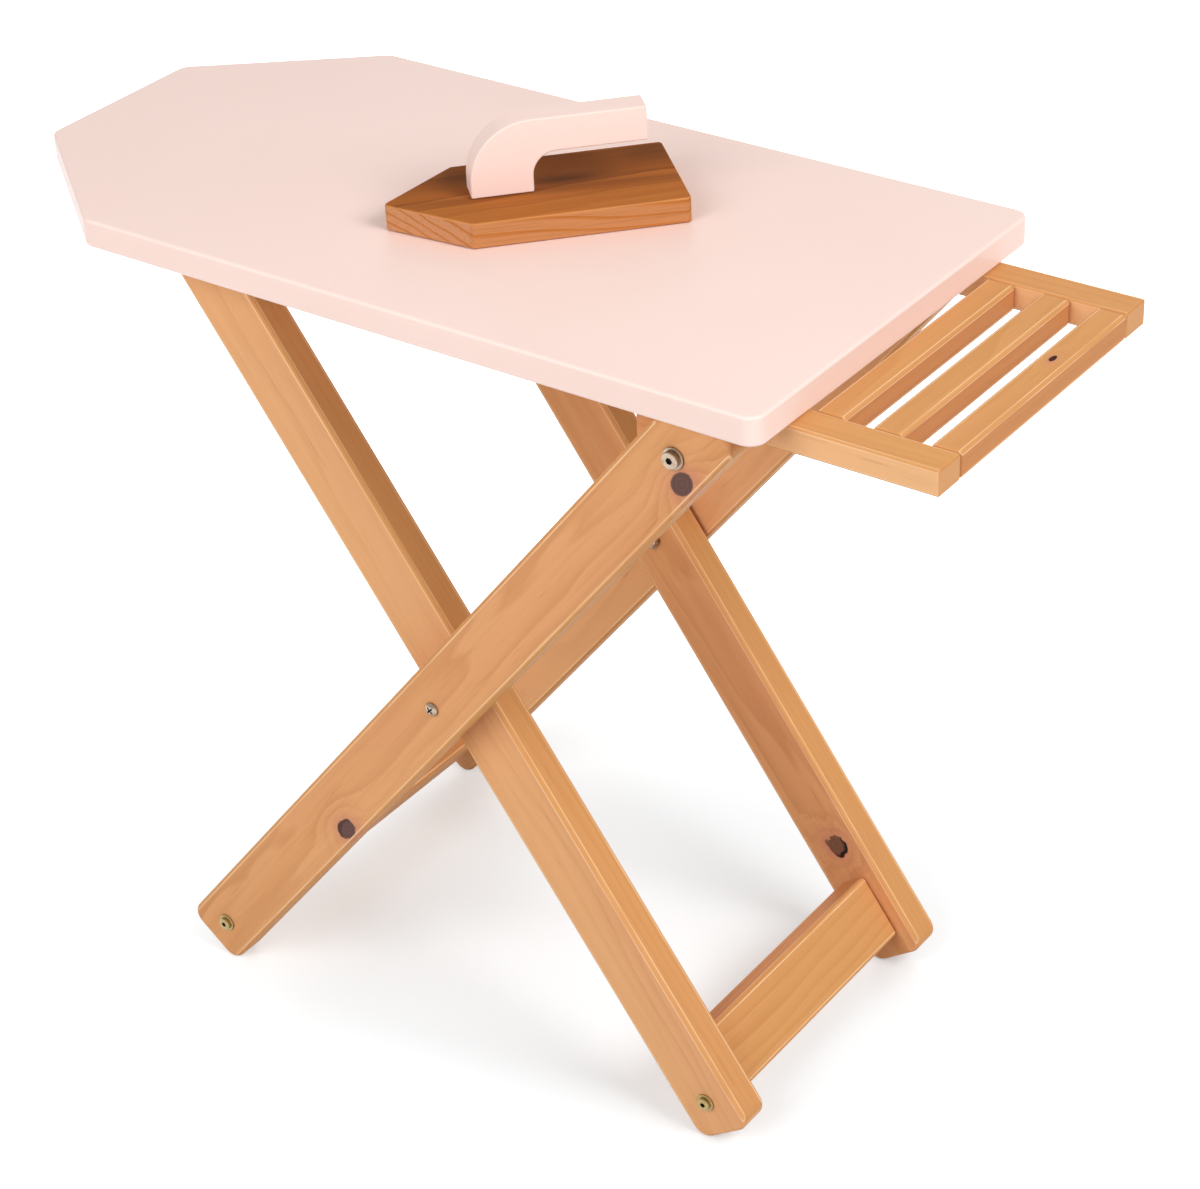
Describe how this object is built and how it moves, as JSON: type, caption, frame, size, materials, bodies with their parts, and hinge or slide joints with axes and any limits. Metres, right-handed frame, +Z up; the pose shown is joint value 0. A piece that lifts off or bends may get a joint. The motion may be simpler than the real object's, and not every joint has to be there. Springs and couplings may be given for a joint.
{
  "type": "toy ironing board",
  "caption": "Toy wooden ironing board: a pink tapered board on a folding crossed pine frame, with a slatted iron rest past its square end and a loose toy iron.",
  "frame": {"origin": "on the floor, under the middle of the overall length and width", "axes": "+X from the board's nose towards the slatted rest, +Y across the board to its far side, +Z up"},
  "size_m": [0.67, 0.29, 0.6026],
  "materials": {
    "pink_paint": "satin paint on MDF",
    "lacquered_pine": "satin lacquer",
    "stained_pine": "stained, satin lacquer",
    "beech_dowel": "plain",
    "nickel_plate": "nickel plate",
    "yellow_zinc": "yellow zinc plate",
    "zinc_steel": "zinc plate"
  },
  "bodies": {
    "board": {"board_top": "pink_paint", "rail_near": "lacquered_pine", "rail_far": "lacquered_pine", "rest_slat_1": "lacquered_pine", "rest_slat_2": "lacquered_pine", "rest_slat_3": "lacquered_pine", "rest_dowel_near_1": "beech_dowel", "rest_dowel_near_2": "beech_dowel", "rest_dowel_near_3": "beech_dowel", "rest_dowel_far_1": "beech_dowel", "rest_dowel_far_2": "beech_dowel", "rest_dowel_far_3": "beech_dowel", "rail_screw_near_1": "zinc_steel", "rail_screw_near_2": "zinc_steel", "rail_screw_far_1": "zinc_steel", "rail_screw_far_2": "zinc_steel", "pivot_block_near": "lacquered_pine", "pivot_block_far": "lacquered_pine", "block_screw_near_1": "zinc_steel", "block_screw_near_2": "zinc_steel", "block_screw_far_1": "zinc_steel", "block_screw_far_2": "zinc_steel", "pivot_bolt_near": "nickel_plate", "pivot_bolt_far": "nickel_plate", "pivot_nut_near": "nickel_plate", "pivot_nut_far": "nickel_plate", "pivot_washer_near": "zinc_steel", "pivot_washer_far": "zinc_steel"},
    "outer_frame": {"outer_leg_near": "lacquered_pine", "outer_leg_far": "lacquered_pine", "outer_crossbar": "lacquered_pine", "outer_bolt_near": "yellow_zinc", "outer_bolt_far": "yellow_zinc", "outer_barrel_nut_near": "yellow_zinc", "outer_barrel_nut_far": "yellow_zinc", "outer_dowel_near": "beech_dowel", "outer_dowel_far": "beech_dowel", "cross_screw_near": "nickel_plate", "cross_screw_far": "nickel_plate", "cross_nut_near": "nickel_plate", "cross_nut_far": "nickel_plate", "cross_washer_near": "zinc_steel", "cross_washer_far": "zinc_steel"},
    "inner_frame": {"inner_leg_near": "lacquered_pine", "inner_leg_far": "lacquered_pine", "inner_crossbar": "lacquered_pine", "inner_bolt_near": "yellow_zinc", "inner_bolt_far": "yellow_zinc", "inner_barrel_nut_near": "yellow_zinc", "inner_barrel_nut_far": "yellow_zinc", "inner_dowel_near": "beech_dowel", "inner_dowel_far": "beech_dowel", "inner_top_rod": "lacquered_pine"},
    "iron": {"iron_base": "stained_pine", "iron_handle": "pink_paint", "iron_screw_1": "zinc_steel", "iron_screw_2": "zinc_steel"}
  },
  "joints": [
    {"name": "leg_fold", "type": "hinge", "parent": "board", "child": "outer_frame", "pos_m": [0.18866, 0, 0.5], "axis": [0, 1, 0], "range_deg": [0, 46.5]},
    {"name": "cross_fold", "type": "hinge", "parent": "outer_frame", "child": "inner_frame", "pos_m": [0.0055, 0, 0.273], "axis": [0, 1, 0], "range_deg": [-97, 0]},
    {"name": "iron_lift", "type": "slide", "parent": "board", "child": "iron", "axis": [0, 0, 1], "range_m": [0, 0.12]}
  ],
  "couplings": [
    {"joint": "cross_fold", "follows": "leg_fold", "ratio": -2.085}
  ]
}
